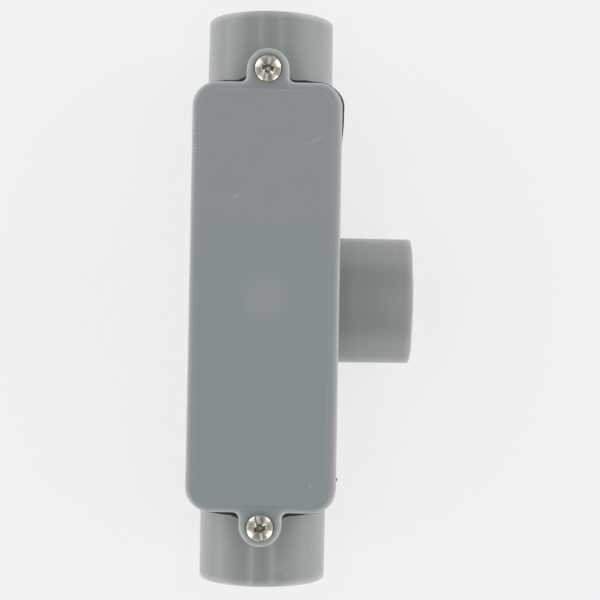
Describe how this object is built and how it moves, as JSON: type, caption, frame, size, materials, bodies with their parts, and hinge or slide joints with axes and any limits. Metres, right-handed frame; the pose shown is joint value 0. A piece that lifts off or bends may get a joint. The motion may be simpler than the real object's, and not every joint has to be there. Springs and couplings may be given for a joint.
{
  "type": "conduit body",
  "caption": "Grey plastic type-T conduit body: hollow trough with opposed run hubs and a side branch hub for solvent-welded conduit, closed by a gasketed cover held with screws.",
  "frame": {"origin": "on the flat back face, under the crossing of the run and branch axes", "axes": "+X out of the branch hub, +Y along the run hubs, +Z out of the cover"},
  "size_m": [0.0591, 0.1536, 0.0459],
  "materials": {
    "body_plastic": "moulded PVC, semi-gloss",
    "cover_plastic": "moulded PVC with a fine matte grain",
    "gasket_rubber": "matte black",
    "screw_steel": "bright plated"
  },
  "bodies": {
    "body": {"tee_body": "body_plastic"},
    "cover": {"cover": "cover_plastic", "cover_gasket": "gasket_rubber"},
    "upper_screw": {"upper_cover_screw": "screw_steel"},
    "lower_screw": {"lower_cover_screw": "screw_steel"}
  },
  "joints": [
    {"name": "cover_lift", "type": "slide", "parent": "body", "child": "cover", "axis": [0, 0, 1], "range_m": [0, 0.05]},
    {"name": "upper_screw_back_out", "type": "slide", "parent": "cover", "child": "upper_screw", "axis": [0, 0, 1], "range_m": [0, 0.0075]},
    {"name": "lower_screw_back_out", "type": "slide", "parent": "cover", "child": "lower_screw", "axis": [0, 0, 1], "range_m": [0, 0.0075]}
  ]
}
